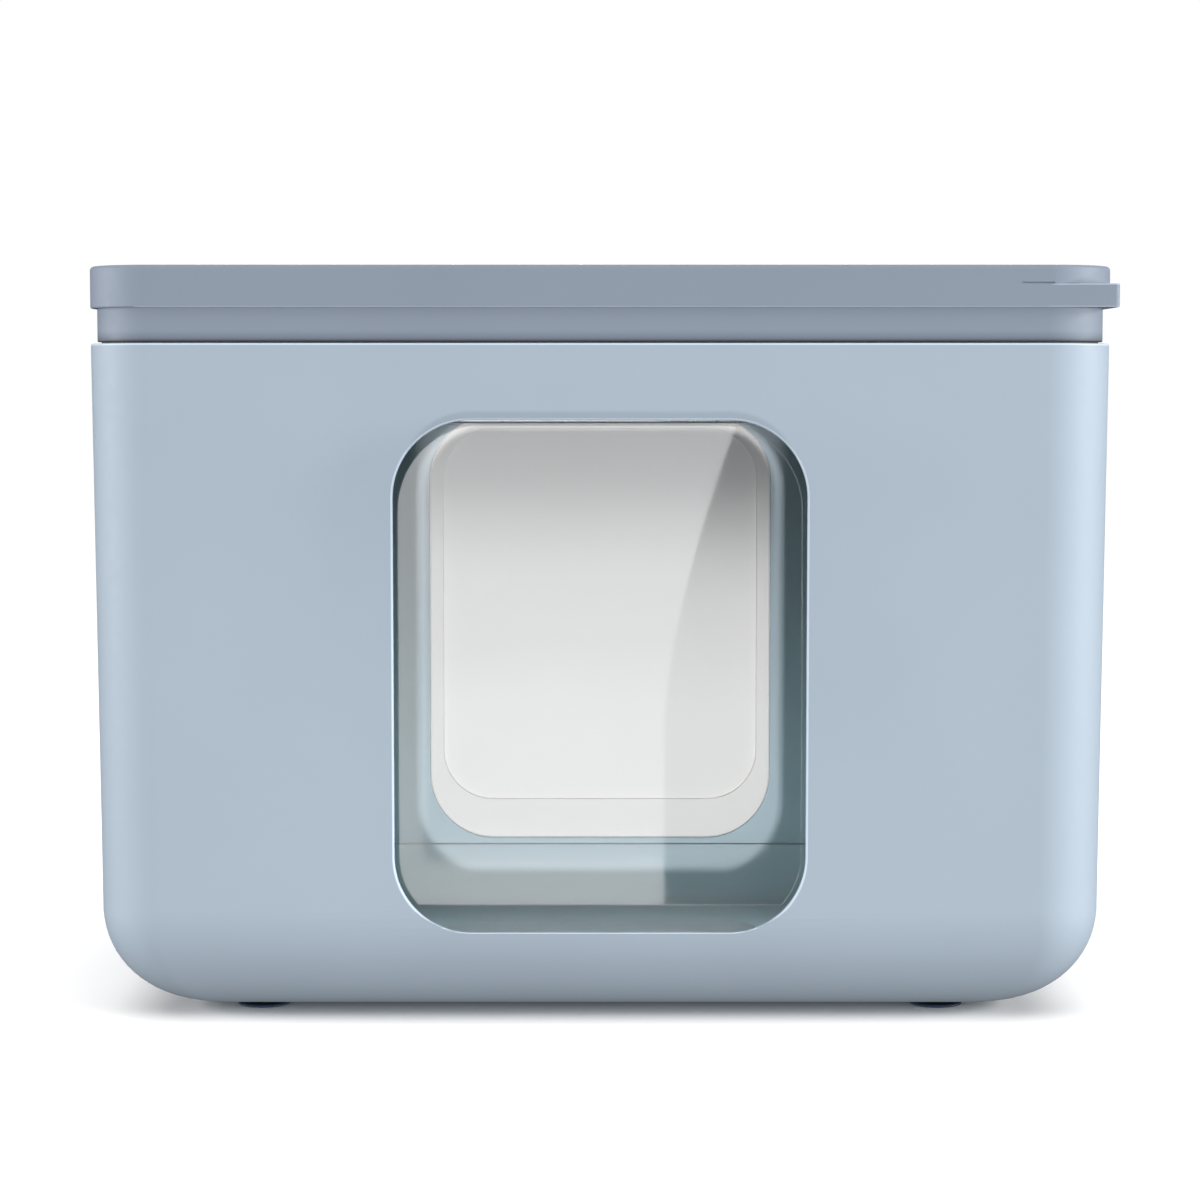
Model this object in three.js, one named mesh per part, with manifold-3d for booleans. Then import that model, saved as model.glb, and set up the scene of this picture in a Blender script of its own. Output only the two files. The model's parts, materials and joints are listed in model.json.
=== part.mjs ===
// Cat litter box with hood: a tall moulded housing with a swing flap in front and a removable panel
// behind, a lift-out litter tray, a collar that plugs into the rim, and a lift-off lid with a filter.
// Millimetres. +Z is up, the front faces -Y, and the origin is the middle of the footprint on the floor.
import * as THREE from "three";
import { mergeVertices } from "three/addons/utils/BufferGeometryUtils.js";
import Module from "manifold-3d";

// Overall size
const WIDTH = 540;
const DEPTH = 350;
const HEIGHT = 400;
const CORNER_R = 36.5;
const GAP = 0.3; // between pieces that rest on each other
const OVERLAP = 1; // how far a joined or a cutting piece reaches into its neighbour

// Housing
const WALL = 3;
const FOOT_SHOWS = 1.3;
const UNDERSIDE_Z = FOOT_SHOWS + GAP;
const RIM_Z = 359.5;
const DRAFT = THREE.MathUtils.degToRad(0.52);
const BASE_FILLET_R = 60;
const BASE_CORNER_R = 16; // in plan, where the fillet meets the floor
const SEAT_Z = 346; // the ledge that carries the collar
const SEAT_WIDTH = 3.2;
const SEAT_THICKNESS = 2.5;
const SEAT_SLOPE = 4.5;

// The same rounded opening is cut in the front and in the rear wall.
const OPENING = { width: 216.5, height: 270, radius: 40.5, bottom: 49.3 };
const OPENING_TOP = OPENING.bottom + OPENING.height;

// Feet, plugged into bosses that also carry the tray
const FOOT_R = 14.25;
const FOOT_EDGE = 0.6;
const FOOT_X = 184;
const FOOT_Y = 112;
const STEM_R = 4;
const STEM_TOP_Z = 9;
const STEM_CLEARANCE = 0.4;
const BOSS_R = 8;
const BOSS_TOP_Z = 13;

// Litter tray
const TRAY_WALL = 2.5;
const TRAY_BOTTOM_Z = BOSS_TOP_Z + GAP;
const TRAY_TOP_Z = 46;
const TRAY_INSET = 10.5; // of the tray's brim from the housing's widest outline
const TRAY_FILLET_R = 44;
const TRAY_CORNER_R = 48;
const LIP = { width: 168, depth: 36.5, radius: 17.5, bottom: 44.5, top: 48 };

// Collar and lid
const COLLAR_INSET = 3.5;
const COLLAR_INNER_INSET = 8;
const COLLAR_TOP_Z = 393;
const PLUG_INSET = 3.6;
const GROOVE_INSET = 5.8;
const GROOVE_BOTTOM_Z = 357.8;
const GROOVE_TOP_Z = 360.4;
const LID_BOTTOM_Z = 378;
const LID_WALL = 3;
const LID_CORNER_R = 36;
const LID_EDGE_R = 2;
const TAB = { top: 390.3, radius: 2.5, reach: 37 }; // squared corner to lift the lid by
const SEAL = { outerInset: 3.8, innerInset: 7.7 };

// Filter under the lid
const FILTER_Y = 95;
const CASSETTE = { width: 148, depth: 70, height: 10.6, wall: 2, floor: 1.6 };
const RAIL = { gap: 0.6, web: 2.5, foot: 4.6, thickness: 2, overhang: 1.5 };
const VENT = { count: 9, pitch: 13, width: 5, length: 48 };
const GRILLE = { count: 9, pitch: 14, width: 8, length: 54 };
const SLOT_FLAT = 0.02; // the short straight part at a slot's round ends

// Swing flap and its hinge
const HINGE_Y = -167.1;
const HINGE_Z = OPENING_TOP;
const ROD_R = 1.5;
const ROD_HALF_LENGTH = 103;
const BARREL_R = 3;
const BARREL_BORE_R = 1.65;
const BARREL_HALF_LENGTH = 89.2;
const FLAP_THICKNESS = 2.5;
const FLAP_CLEARANCE = 2;
const FLAP_TOP_R = 45; // rounder than the opening, so that the flap also swings out through it
const FLAP_BOTTOM_Z = 63.5;
const BRACKET = { x: 97, width: 14, bottom: 314.6, step: 323.5, top: 338, plate: 3 };
const BRACKET_FRONT_Y = -171;
const BRACKET_BACK_Y = -163.6;
const BRACKET_BORE_R = 1.85;
const PAD = { width: 15, bottom: 323.8, top: 338.4 };
const SCREW = { dx: 3.6, z: 331, shankR: 1.25, holeR: 1.6, headR: 2.6, headHeight: 1.8, reach: 7 };
const RECESS = { length: 3, width: 0.7, depth: 0.9 }; // the cross in a screw's head

// Rear panel: a frame set into the wall's outside, with an opal pane held in a pocket
const PANEL = { flange: 6, flangeThickness: 1.2, rebate: 1.5, depth: 4, clearance: 0.4, outset: 0.1 };
const WINDOW = { width: 199, radius: 31, bottom: 25, top: 8.75 }; // bottom and top are the frame's bars
const POCKET_MARGIN = 4;
const POCKET_DEPTH = 2;
const PANE_THICKNESS = 1.5;

// Fineness of the curves
const CORNER_STEPS = 8;
const FILLET_STEPS = 7;
const ROUND_SIDES = 24;
const SMALL_SIDES = 12;
const SLOT_STEPS = 3;

const BODY = { color: 0xafbdca, roughness: 0.5 };
const LID = { color: 0x909baa, roughness: 0.5 };
const WHITE = { color: 0xe6e8ea, roughness: 0.4 };
const OPAL = { color: 0xf1f3f4, roughness: 0.3 };
const CLEAR = { color: 0xe8f0f2, roughness: 0.05, transparent: true, opacity: 0.25 };
const STEEL = { color: 0xb8bcc0, roughness: 0.3, metalness: 1 };
const SEAL_RUBBER = { color: 0x3a4048, roughness: 0.8 };
const FOOT_RUBBER = { color: 0x0e1524, roughness: 0.7 };
const FOAM = { color: 0x202225, roughness: 1 };

const wasm = await Module();
wasm.setup();

// ---- Solids ----

function toSolid(geometry) {
  const bare = geometry.index ? geometry.toNonIndexed() : geometry.clone();
  for (const name of Object.keys(bare.attributes)) {
    if (name !== "position") bare.deleteAttribute(name);
  }
  const merged = mergeVertices(bare, 1e-4);
  return new wasm.Manifold(
    new wasm.Mesh({
      numProp: 3,
      vertProperties: merged.attributes.position.array,
      triVerts: new Uint32Array(merged.index.array),
    }),
  );
}

function toGeometry(solid) {
  const { vertProperties, triVerts } = solid.getMesh();
  const geometry = new THREE.BufferGeometry();
  geometry.setAttribute("position", new THREE.BufferAttribute(vertProperties, 3));
  geometry.setIndex(new THREE.BufferAttribute(triVerts, 1));
  geometry.computeVertexNormals();
  return geometry;
}

function cut(geometry, tools) {
  return toGeometry(tools.reduce((solid, tool) => solid.subtract(toSolid(tool)), toSolid(geometry)));
}

function join(geometry, pieces) {
  return toGeometry(pieces.reduce((solid, piece) => solid.add(toSolid(piece)), toSolid(geometry)));
}

// ---- Outlines and lofts ----

// One level of the moulded box: its outline is set in from WIDTH x DEPTH by inset, at height z.
function level(inset, z, radius = CORNER_R - inset) {
  const points = [];
  const cornerX = WIDTH / 2 - inset - radius;
  const cornerY = DEPTH / 2 - inset - radius;
  for (let quarter = 0; quarter < 4; quarter++) {
    const signX = quarter === 0 || quarter === 3 ? 1 : -1;
    const signY = quarter < 2 ? 1 : -1;
    for (let step = 0; step <= CORNER_STEPS; step++) {
      const angle = ((quarter + step / CORNER_STEPS) * Math.PI) / 2;
      const x = signX * cornerX + radius * Math.cos(angle);
      const y = signY * cornerY + radius * Math.sin(angle);
      points.push(new THREE.Vector3(x, y, z));
    }
  }
  return points;
}

// Joins levels into one closed surface. A ring closes from its last level to its first, and any
// other loft closes with a flat face across its first and its last level.
function loft(levels, isRing = false) {
  const count = levels[0].length;
  const positions = levels.flat().flatMap((p) => [p.x, p.y, p.z]);
  const index = [];
  const bands = isRing ? levels.length : levels.length - 1;
  for (let band = 0; band < bands; band++) {
    const low = band * count;
    const high = ((band + 1) % levels.length) * count;
    for (let i = 0; i < count; i++) {
      const next = (i + 1) % count;
      index.push(low + i, low + next, high + next, low + i, high + next, high + i);
    }
  }
  if (!isRing) {
    const last = (levels.length - 1) * count;
    for (let i = 1; i < count - 1; i++) {
      index.push(0, i + 1, i);
      index.push(last, last + i, last + i + 1);
    }
  }
  const geometry = new THREE.BufferGeometry();
  geometry.setAttribute("position", new THREE.Float32BufferAttribute(positions, 3));
  geometry.setIndex(index);
  geometry.computeVertexNormals();
  return geometry;
}

// A rounded rectangle with its lower edge at bottom, centred on x = 0.
function roundedShape(width, height, radius, bottom) {
  const half = width / 2;
  const shape = new THREE.Shape();
  shape.moveTo(-half + radius, bottom);
  shape.absarc(half - radius, bottom + radius, radius, -Math.PI / 2, 0);
  shape.absarc(half - radius, bottom + height - radius, radius, 0, Math.PI / 2);
  shape.absarc(-half + radius, bottom + height - radius, radius, Math.PI / 2, Math.PI);
  shape.absarc(-half + radius, bottom + radius, radius, Math.PI, 1.5 * Math.PI);
  return shape;
}

function openingShape(margin) {
  const { width, height, radius, bottom } = OPENING;
  return roundedShape(width + 2 * margin, height + 2 * margin, radius + margin, bottom - margin);
}

function extrude(shape, depth, curveSegments = CORNER_STEPS) {
  return new THREE.ExtrudeGeometry(shape, { depth, bevelEnabled: false, curveSegments });
}

// A shape drawn in x and z, as a slab that runs back from yFront.
function slab(shape, yFront, depth) {
  return extrude(shape, depth).rotateX(Math.PI / 2).translate(0, yFront + depth, 0);
}

// The drafted rear wall leans, so its slabs are built upright on y = 0 and leaned back to it.
// from and to are depths below the wall's outer face.
function rearSlab(shape, from, to) {
  const hinge = DEPTH / 2 - draftInset(OPENING.bottom);
  const upright = slab(shape, -to, to - from).translate(0, 0, -OPENING.bottom);
  return upright.rotateX(-DRAFT).translate(0, hinge, OPENING.bottom);
}

function block(width, depth, height, x, y, bottom) {
  return new THREE.BoxGeometry(width, depth, height).translate(x, y, bottom + height / 2);
}

// A turned piece about a vertical axis, from profile points [radius, z].
function turned(profile) {
  return new THREE.LatheGeometry(
    profile.map(([radius, z]) => new THREE.Vector2(radius, z)),
    ROUND_SIDES,
  ).rotateX(Math.PI / 2);
}

function post(radius, bottom, top) {
  return turned([[0, bottom], [radius, bottom], [radius, top], [0, top]]);
}

// ---- Housing ----

function draftInset(z) {
  return (RIM_Z - z) * Math.tan(DRAFT);
}

// Levels of the housing's wall from the floor up, offset inwards from the outer surface.
function wallLevels(offset, topZ) {
  const centreZ = UNDERSIDE_Z + BASE_FILLET_R;
  const centreInset = draftInset(centreZ) + BASE_FILLET_R;
  const filletR = BASE_FILLET_R - offset;
  const levels = [];
  for (let step = 0; step <= FILLET_STEPS; step++) {
    const part = step / FILLET_STEPS;
    const angle = (part * Math.PI) / 2;
    const radius = THREE.MathUtils.lerp(BASE_CORNER_R, CORNER_R, part) - offset;
    const inset = centreInset - filletR * Math.sin(angle);
    levels.push(level(inset, centreZ - filletR * Math.cos(angle), radius));
  }
  levels.push(level(draftInset(topZ) + offset, topZ));
  return levels;
}

function seatLevels() {
  const inner = (z) => draftInset(z) + WALL;
  const under = SEAT_Z - SEAT_THICKNESS;
  return [
    level(inner(RIM_Z), RIM_Z),
    level(inner(SEAT_Z), SEAT_Z),
    level(inner(SEAT_Z) + SEAT_WIDTH, SEAT_Z),
    level(inner(SEAT_Z) + SEAT_WIDTH, under),
  ];
}

const corners = [
  ["front_left", -FOOT_X, -FOOT_Y],
  ["front_right", FOOT_X, -FOOT_Y],
  ["rear_left", -FOOT_X, FOOT_Y],
  ["rear_right", FOOT_X, FOOT_Y],
];

const sides = [
  ["left", -1],
  ["right", 1],
];

const innerWallY = (z) => -DEPTH / 2 + draftInset(z) + WALL;
const padBackY = BRACKET_BACK_Y - BRACKET.plate - GAP;

const bracketScrews = (sign) => [-1, 1].map((end) => sign * BRACKET.x + end * SCREW.dx);
const screwPlaces = sides.flatMap(([, sign]) => bracketScrews(sign));

// A hole or a shank along y.
function alongY(radius, yFront, yBack, x, z) {
  const length = yBack - yFront;
  return new THREE.CylinderGeometry(radius, radius, length, SMALL_SIDES).translate(x, yFront + length / 2, z);
}

function housingGeometry() {
  const seatFoot = SEAT_Z - SEAT_THICKNESS - SEAT_SLOPE;
  const outside = wallLevels(0, RIM_Z);
  const inside = wallLevels(WALL, seatFoot).reverse();
  const shell = loft([...outside, ...seatLevels(), ...inside]);

  const bosses = corners.map(([, x, y]) => post(BOSS_R, UNDERSIDE_Z + OVERLAP, BOSS_TOP_Z).translate(x, y, 0));
  const padDepth = padBackY - innerWallY(RIM_Z) + OVERLAP;
  const pads = sides.map(([, sign]) =>
    block(PAD.width, padDepth, PAD.top - PAD.bottom, sign * BRACKET.x, padBackY - padDepth / 2, PAD.bottom),
  );

  const through = 3 * WALL;
  const doorway = slab(openingShape(0), -DEPTH / 2 - WALL, through + WALL);
  const rearDoorway = slab(openingShape(0), DEPTH / 2 - through, through + WALL);
  const rebate = rearSlab(openingShape(PANEL.flange + PANEL.clearance), -WALL, PANEL.rebate);
  const stemHole = post(STEM_R + STEM_CLEARANCE, 0, STEM_TOP_Z + STEM_CLEARANCE);
  const stemHoles = corners.map(([, x, y]) => stemHole.clone().translate(x, y, 0));
  const pilots = screwPlaces.map((x) =>
    alongY(SCREW.holeR, BRACKET_BACK_Y - SCREW.reach - GAP, padBackY + OVERLAP, x, SCREW.z),
  );
  return cut(join(shell, [...bosses, ...pads]), [doorway, rearDoorway, rebate, ...stemHoles, ...pilots]);
}

function footGeometry() {
  return turned([
    [0, 0],
    [FOOT_R - FOOT_EDGE, 0],
    [FOOT_R, FOOT_EDGE],
    [FOOT_R, FOOT_SHOWS],
    [STEM_R, FOOT_SHOWS],
    [STEM_R, STEM_TOP_Z - FOOT_EDGE],
    [STEM_R - FOOT_EDGE, STEM_TOP_Z],
    [0, STEM_TOP_Z],
  ]);
}

// ---- Litter tray ----

function trayLevels(offset) {
  const centreZ = TRAY_BOTTOM_Z + TRAY_FILLET_R;
  const radius = TRAY_FILLET_R - offset;
  const brimDrop = centreZ - TRAY_TOP_Z;
  const centreInset = TRAY_INSET + Math.sqrt(TRAY_FILLET_R ** 2 - brimDrop ** 2);
  const brimAngle = Math.acos(brimDrop / radius);
  const levels = [];
  for (let step = 0; step <= FILLET_STEPS; step++) {
    const angle = (step / FILLET_STEPS) * brimAngle;
    const inset = centreInset - radius * Math.sin(angle);
    levels.push(level(inset, centreZ - radius * Math.cos(angle), TRAY_CORNER_R - offset));
  }
  return levels;
}

function trayGeometry() {
  const bowl = loft([...trayLevels(0), ...trayLevels(TRAY_WALL).reverse()]);
  const front = -DEPTH / 2 + TRAY_INSET;
  const outline = roundedShape(LIP.width, LIP.depth, LIP.radius, front);
  const lip = extrude(outline, LIP.top - LIP.bottom).translate(0, 0, LIP.bottom);
  return join(bowl, [lip]);
}

// ---- Collar, seal and lid ----

function collarGeometry() {
  return loft(
    [
      level(PLUG_INSET, SEAT_Z + GAP),
      level(PLUG_INSET, GROOVE_BOTTOM_Z),
      level(GROOVE_INSET, GROOVE_BOTTOM_Z),
      level(GROOVE_INSET, GROOVE_TOP_Z),
      level(COLLAR_INSET, GROOVE_TOP_Z),
      level(COLLAR_INSET, COLLAR_TOP_Z),
      level(COLLAR_INNER_INSET, COLLAR_TOP_Z),
      level(COLLAR_INNER_INSET, SEAT_Z + GAP),
    ],
    true,
  );
}

function sealGeometry() {
  const bottom = COLLAR_TOP_Z + GAP;
  const top = HEIGHT - LID_WALL - GAP;
  return loft(
    [
      level(SEAL.outerInset, bottom),
      level(SEAL.outerInset, top),
      level(SEAL.innerInset, top),
      level(SEAL.innerInset, bottom),
    ],
    true,
  );
}

// The squared front right corner: the space between the lid's round corner and a square one.
function tabGeometry() {
  const right = WIDTH / 2;
  const front = -DEPTH / 2;
  const { reach, radius, top } = TAB;
  const inner = LID_CORNER_R - OVERLAP;
  const shape = new THREE.Shape();
  shape.moveTo(right - reach, front);
  shape.absarc(right - radius, front + radius, radius, -Math.PI / 2, 0);
  shape.lineTo(right, front + reach);
  shape.absarc(right - LID_CORNER_R, front + LID_CORNER_R, inner, 0, -Math.PI / 2, true);
  shape.closePath();
  return extrude(shape, top - LID_BOTTOM_Z).translate(0, 0, LID_BOTTOM_Z);
}

// An L-shaped rail under the lid that the cassette slides along, and the stop behind it.
function railGeometry(sign) {
  const ceiling = HEIGHT - LID_WALL;
  const webX = CASSETTE.width / 2 + RAIL.gap;
  const footZ = ceiling - GAP - CASSETTE.height - GAP - RAIL.thickness;
  const shape = new THREE.Shape();
  shape.moveTo(sign * webX, ceiling + OVERLAP);
  shape.lineTo(sign * (webX + RAIL.web), ceiling + OVERLAP);
  shape.lineTo(sign * (webX + RAIL.web), footZ);
  shape.lineTo(sign * (webX - RAIL.foot), footZ);
  shape.lineTo(sign * (webX - RAIL.foot), footZ + RAIL.thickness);
  shape.lineTo(sign * webX, footZ + RAIL.thickness);
  shape.closePath();
  const length = CASSETTE.depth + 2 * RAIL.overhang;
  return slab(shape, FILTER_Y - length / 2, length);
}

function stopGeometry() {
  const width = CASSETTE.width + 2 * (RAIL.gap + RAIL.web);
  const y = FILTER_Y + CASSETTE.depth / 2 + RAIL.overhang;
  const ceiling = HEIGHT - LID_WALL;
  return block(width, RAIL.thickness, CASSETTE.height, 0, y, ceiling + OVERLAP - CASSETTE.height);
}

function slots({ count, pitch, width, length }, y, bottom, height) {
  return Array.from({ length: count }, (_, i) => {
    const x = (i - (count - 1) / 2) * pitch;
    const shape = roundedShape(width, length, (width - SLOT_FLAT) / 2, y - length / 2);
    return extrude(shape, height, SLOT_STEPS).translate(x, 0, bottom);
  });
}

function lidGeometry() {
  const outline = (inset, z) => level(inset, z, LID_CORNER_R - inset);
  const bend = LID_EDGE_R * (1 - Math.SQRT1_2);
  const cap = loft([
    outline(LID_WALL, HEIGHT - LID_WALL),
    outline(LID_WALL, LID_BOTTOM_Z),
    outline(0, LID_BOTTOM_Z),
    outline(0, HEIGHT - LID_EDGE_R),
    outline(bend, HEIGHT - bend),
    outline(LID_EDGE_R, HEIGHT),
  ]);
  const rails = sides.map(([, sign]) => railGeometry(sign));
  const whole = join(cap, [tabGeometry(), ...rails, stopGeometry()]);
  return cut(whole, slots(VENT, FILTER_Y, HEIGHT - 2 * LID_WALL, 3 * LID_WALL));
}

// ---- Filter ----

const cassetteBottom = HEIGHT - LID_WALL - GAP - CASSETTE.height;

function cassetteGeometry() {
  const { width, depth, height, wall, floor } = CASSETTE;
  const hollow = block(width - 2 * wall, depth - 2 * wall, height, 0, FILTER_Y, cassetteBottom + floor);
  const grille = slots(GRILLE, FILTER_Y, cassetteBottom - floor, 3 * floor);
  return cut(block(width, depth, height, 0, FILTER_Y, cassetteBottom), [hollow, ...grille]);
}

function filterPadGeometry() {
  const margin = CASSETTE.wall + GAP;
  const bottom = cassetteBottom + CASSETTE.floor + GAP;
  const height = CASSETTE.height - CASSETTE.floor - 2 * GAP;
  return block(CASSETTE.width - 2 * margin, CASSETTE.depth - 2 * margin, height, 0, FILTER_Y, bottom);
}

// ---- Flap and hinge ----

// The opening's outline drawn in by the clearance, rounder at the top and cut off straight at the bottom.
function flapShape() {
  const radius = OPENING.radius - FLAP_CLEARANCE;
  const cornerX = OPENING.width / 2 - OPENING.radius;
  const topX = OPENING.width / 2 - FLAP_CLEARANCE - FLAP_TOP_R;
  const topZ = OPENING_TOP - FLAP_CLEARANCE - FLAP_TOP_R;
  const lowZ = OPENING.bottom + OPENING.radius;
  const start = Math.asin((FLAP_BOTTOM_Z - lowZ) / radius);
  const shape = new THREE.Shape();
  shape.moveTo(-cornerX - radius * Math.cos(start), FLAP_BOTTOM_Z);
  shape.absarc(cornerX, lowZ, radius, start, 0);
  shape.absarc(topX, topZ, FLAP_TOP_R, 0, Math.PI / 2);
  shape.lineTo(topX, HINGE_Z);
  shape.lineTo(-topX, HINGE_Z);
  shape.absarc(-topX, topZ, FLAP_TOP_R, Math.PI / 2, Math.PI);
  shape.absarc(-cornerX, lowZ, radius, Math.PI, Math.PI - start);
  return shape;
}

function alongX(radius, halfLength, count) {
  return new THREE.CylinderGeometry(radius, radius, 2 * halfLength, count)
    .rotateZ(Math.PI / 2)
    .translate(0, HINGE_Y, HINGE_Z);
}

function flapGeometry() {
  const pane = slab(flapShape(), HINGE_Y - FLAP_THICKNESS / 2, FLAP_THICKNESS);
  const barrel = alongX(BARREL_R, BARREL_HALF_LENGTH, ROUND_SIDES);
  return cut(join(pane, [barrel]), [alongX(BARREL_BORE_R, WIDTH / 2, ROUND_SIDES)]);
}

// An ear that holds the rod below a plate that is screwed to the housing's pad.
function bracketGeometry(sign) {
  const plateFront = BRACKET_BACK_Y - BRACKET.plate;
  const shape = new THREE.Shape();
  shape.moveTo(BRACKET_FRONT_Y, BRACKET.bottom);
  shape.lineTo(BRACKET_BACK_Y, BRACKET.bottom);
  shape.lineTo(BRACKET_BACK_Y, BRACKET.top);
  shape.lineTo(plateFront, BRACKET.top);
  shape.lineTo(plateFront, BRACKET.step);
  shape.lineTo(BRACKET_FRONT_Y, BRACKET.step);
  shape.closePath();
  const body = extrude(shape, BRACKET.width)
    .rotateX(Math.PI / 2)
    .rotateZ(Math.PI / 2)
    .translate(sign * BRACKET.x - BRACKET.width / 2, 0, 0);
  const screwHoles = bracketScrews(sign).map((x) =>
    alongY(SCREW.holeR, plateFront - OVERLAP, BRACKET_BACK_Y + OVERLAP, x, SCREW.z),
  );
  return cut(body, [alongX(BRACKET_BORE_R, WIDTH / 2, ROUND_SIDES), ...screwHoles]);
}

function screwGeometry(x) {
  const seat = BRACKET_BACK_Y + GAP;
  const top = seat + SCREW.headHeight;
  const { length, width, depth } = RECESS;
  const shank = alongY(SCREW.shankR, seat - SCREW.reach, seat + OVERLAP, x, SCREW.z);
  const head = alongY(SCREW.headR, seat, top, x, SCREW.z);
  const level = block(length, 2 * depth, width, x, top, SCREW.z - width / 2);
  const upright = block(width, 2 * depth, length, x, top, SCREW.z - length / 2);
  return cut(join(head, [shank]), [level, upright]);
}

// ---- Rear panel ----

function windowShape(margin) {
  const height = OPENING.height - WINDOW.bottom - WINDOW.top;
  return roundedShape(
    WINDOW.width + 2 * margin,
    height + 2 * margin,
    WINDOW.radius + margin,
    OPENING.bottom + WINDOW.bottom - margin,
  );
}

function panelFrameGeometry() {
  const plug = rearSlab(openingShape(-PANEL.clearance), PANEL.outset, PANEL.depth);
  const flange = rearSlab(openingShape(PANEL.flange), PANEL.outset, PANEL.flangeThickness);
  const pocket = rearSlab(windowShape(POCKET_MARGIN), -OVERLAP, POCKET_DEPTH);
  const window = rearSlab(windowShape(0), -OVERLAP, PANEL.depth + OVERLAP);
  return cut(join(plug, [flange]), [pocket, window]);
}

function panelPaneGeometry() {
  const back = POCKET_DEPTH - GAP;
  return rearSlab(windowShape(POCKET_MARGIN - GAP), back - PANE_THICKNESS, back);
}

// ---- Assembly ----

const litterBox = new THREE.Group();

function place(name, geometry, look) {
  const mesh = new THREE.Mesh(geometry, new THREE.MeshStandardMaterial({ metalness: 0, ...look }));
  mesh.name = name;
  litterBox.add(mesh);
  return mesh;
}

place("housing", housingGeometry(), BODY);
place("litter_tray", trayGeometry(), BODY);
place("collar", collarGeometry(), LID);
place("lid", lidGeometry(), LID);
place("lid_seal", sealGeometry(), SEAL_RUBBER);
place("filter_cassette", cassetteGeometry(), LID);
place("filter_pad", filterPadGeometry(), FOAM);
place("flap_pane", flapGeometry(), CLEAR);
place("flap_rod", alongX(ROD_R, ROD_HALF_LENGTH, ROUND_SIDES), STEEL);
for (const [side, sign] of sides) {
  place(`flap_bracket_${side}`, bracketGeometry(sign), BODY);
}
screwPlaces.forEach((x, i) => place(`bracket_screw_${i + 1}`, screwGeometry(x), STEEL));
place("rear_panel_frame", panelFrameGeometry(), WHITE);
place("rear_panel_pane", panelPaneGeometry(), OPAL);
for (const [corner, x, y] of corners) {
  place(`foot_${corner}`, footGeometry(), FOOT_RUBBER).position.set(x, y, 0);
}

export default litterBox;
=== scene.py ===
"""Cat litter box with hood: fine moulded shells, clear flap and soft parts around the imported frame."""
import json
import math

import bmesh
import bpy
from mathutils import Matrix, Vector

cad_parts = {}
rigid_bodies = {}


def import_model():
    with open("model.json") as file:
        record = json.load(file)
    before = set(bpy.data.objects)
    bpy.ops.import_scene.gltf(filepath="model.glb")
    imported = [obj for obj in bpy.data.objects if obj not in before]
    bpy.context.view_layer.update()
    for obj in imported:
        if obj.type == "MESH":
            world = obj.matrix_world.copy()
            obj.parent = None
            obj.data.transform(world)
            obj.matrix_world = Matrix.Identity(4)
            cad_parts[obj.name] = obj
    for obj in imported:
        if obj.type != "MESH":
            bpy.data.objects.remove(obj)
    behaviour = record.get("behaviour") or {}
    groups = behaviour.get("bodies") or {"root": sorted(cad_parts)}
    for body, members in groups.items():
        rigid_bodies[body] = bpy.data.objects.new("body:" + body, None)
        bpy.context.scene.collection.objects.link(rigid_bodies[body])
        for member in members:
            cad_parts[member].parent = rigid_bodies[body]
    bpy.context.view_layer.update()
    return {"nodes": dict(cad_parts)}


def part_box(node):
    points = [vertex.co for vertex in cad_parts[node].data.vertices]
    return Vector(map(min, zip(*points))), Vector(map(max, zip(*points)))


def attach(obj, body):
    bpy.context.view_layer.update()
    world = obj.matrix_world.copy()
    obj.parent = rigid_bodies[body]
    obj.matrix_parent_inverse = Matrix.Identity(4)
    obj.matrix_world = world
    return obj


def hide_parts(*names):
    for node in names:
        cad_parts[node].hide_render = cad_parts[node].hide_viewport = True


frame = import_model()
MM = 0.001

# ---- Sizes, from the frame ----

housing_low, housing_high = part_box("housing")
tray_low, tray_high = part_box("litter_tray")
collar_low, collar_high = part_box("collar")
lid_low, lid_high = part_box("lid")
seal_low, seal_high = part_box("lid_seal")
cassette_low, cassette_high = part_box("filter_cassette")
panel_low, panel_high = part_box("rear_panel_frame")
flap_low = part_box("flap_pane")[0]
rod_low, rod_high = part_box("flap_rod")

HALF_W = housing_high.x
HALF_D = housing_high.y
RIM_Z = housing_high.z
UNDERSIDE_Z = housing_low.z
LID_TOP_Z = lid_high.z
CORNERS = ("front_left", "front_right", "rear_left", "rear_right")
SIDES = ("left", "right")

CORNER_R = 36.5 * MM
WALL = 3 * MM
DRAFT = math.radians(0.52)
BASE_FILLET_R = 60 * MM
BASE_CORNER_R = 16 * MM
RIM_EDGE_R = 1 * MM
SEAT_Z = collar_low.z - 0.3 * MM
SEAT_WIDTH = 3.2 * MM
SEAT_THICKNESS = 2.5 * MM
SEAT_SLOPE = 4.5 * MM

FLANGE = 6 * MM  # of the rear panel, round its opening
OPENING_LOW_Z = panel_low.z + FLANGE
OPENING_HIGH_Z = panel_high.z - FLANGE
OPENING_HALF = panel_high.x - FLANGE
OPENING_R = 40.5 * MM
DOOR_EDGE_R = 1.1 * MM

HINGE = (rod_low + rod_high) / 2
FLAP_CLEARANCE = 2 * MM
FLAP_TOP_R = 45 * MM
FLAP_TOP_X = OPENING_HALF - FLAP_CLEARANCE - FLAP_TOP_R

TRAY_BRIM_Z = 46 * MM
LIP_LOW_Z = 44.5 * MM
LIP_TOP_Z = 48 * MM
LIP_HALF_X = 84 * MM
LIP_HALF_Y = 18.25 * MM
LIP_R = 17.5 * MM

GROOVE_LOW_Z = 357.8 * MM
GROOVE_HIGH_Z = 360.4 * MM
LID_WALL = 3 * MM
LID_CEILING_Z = LID_TOP_Z - LID_WALL
LID_CORNER_R = 36 * MM
LID_LOW_EDGE_R = 0.9 * MM
TAB_TOP_Z = 390.3 * MM
TAB_REACH = 37 * MM

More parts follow.
